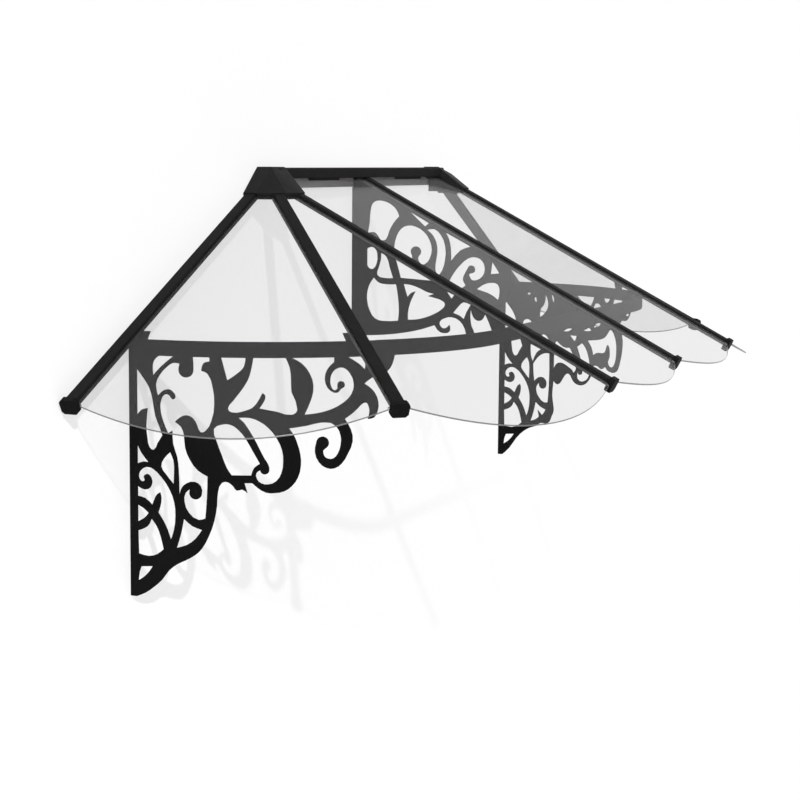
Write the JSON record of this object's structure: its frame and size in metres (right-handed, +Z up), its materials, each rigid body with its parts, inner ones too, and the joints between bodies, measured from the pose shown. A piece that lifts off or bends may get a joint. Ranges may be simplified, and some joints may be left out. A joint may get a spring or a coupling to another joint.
{
  "type": "door canopy",
  "caption": "Wall-hung door canopy: clear scalloped sheets in dark ribs fanning from hubs at each end of a ridge, carried on a belt and pierced scroll brackets.",
  "frame": {"origin": "on the wall face of the ridge, halfway along it, 11 mm below its upper edge", "axes": "+Z up, +X along the ridge to the right as seen from the street, +Y into the wall; the roof reaches out towards -Y"},
  "size_m": [2.2378, 0.7454, 0.7327],
  "materials": {
    "bar_metal": "dark bronze-black satin coating on the ridge, ribs and covers",
    "plate_metal": "dark satin powder coat on the cut plates",
    "hub_casting": "dark satin coating on the cast hubs",
    "end_cap_plastic": "fine matt black-brown",
    "clear_sheet": "clear glossy sheet with a light grey veil"
  },
  "bodies": {
    "root": {"cap_a_left": "end_cap_plastic", "cap_a_right": "end_cap_plastic", "cap_b_left": "end_cap_plastic", "cap_b_right": "end_cap_plastic", "cap_c_left": "end_cap_plastic", "cap_c_right": "end_cap_plastic", "cap_d": "end_cap_plastic", "cover_a_left": "bar_metal", "cover_a_right": "bar_metal", "cover_b_left": "bar_metal", "cover_b_right": "bar_metal", "cover_c_left": "bar_metal", "cover_c_right": "bar_metal", "cover_d": "bar_metal", "front_belt": "plate_metal", "hub_body_left": "hub_casting", "hub_body_right": "hub_casting", "hub_cover_left": "hub_casting", "hub_cover_right": "hub_casting", "middle_bracket": "plate_metal", "panel_ab_left": "clear_sheet", "panel_ab_right": "clear_sheet", "panel_bc_left": "clear_sheet", "panel_bc_right": "clear_sheet", "panel_cd_left": "clear_sheet", "panel_cd_right": "clear_sheet", "rafter_a_left": "bar_metal", "rafter_a_right": "bar_metal", "rafter_b_left": "bar_metal", "rafter_b_right": "bar_metal", "rafter_c_left": "bar_metal", "rafter_c_right": "bar_metal", "rafter_d": "bar_metal", "ridge_bar": "bar_metal", "ridge_clamp_left": "bar_metal", "ridge_clamp_right": "bar_metal", "side_bracket_left": "plate_metal", "side_bracket_right": "plate_metal"}
  },
  "joints": []
}
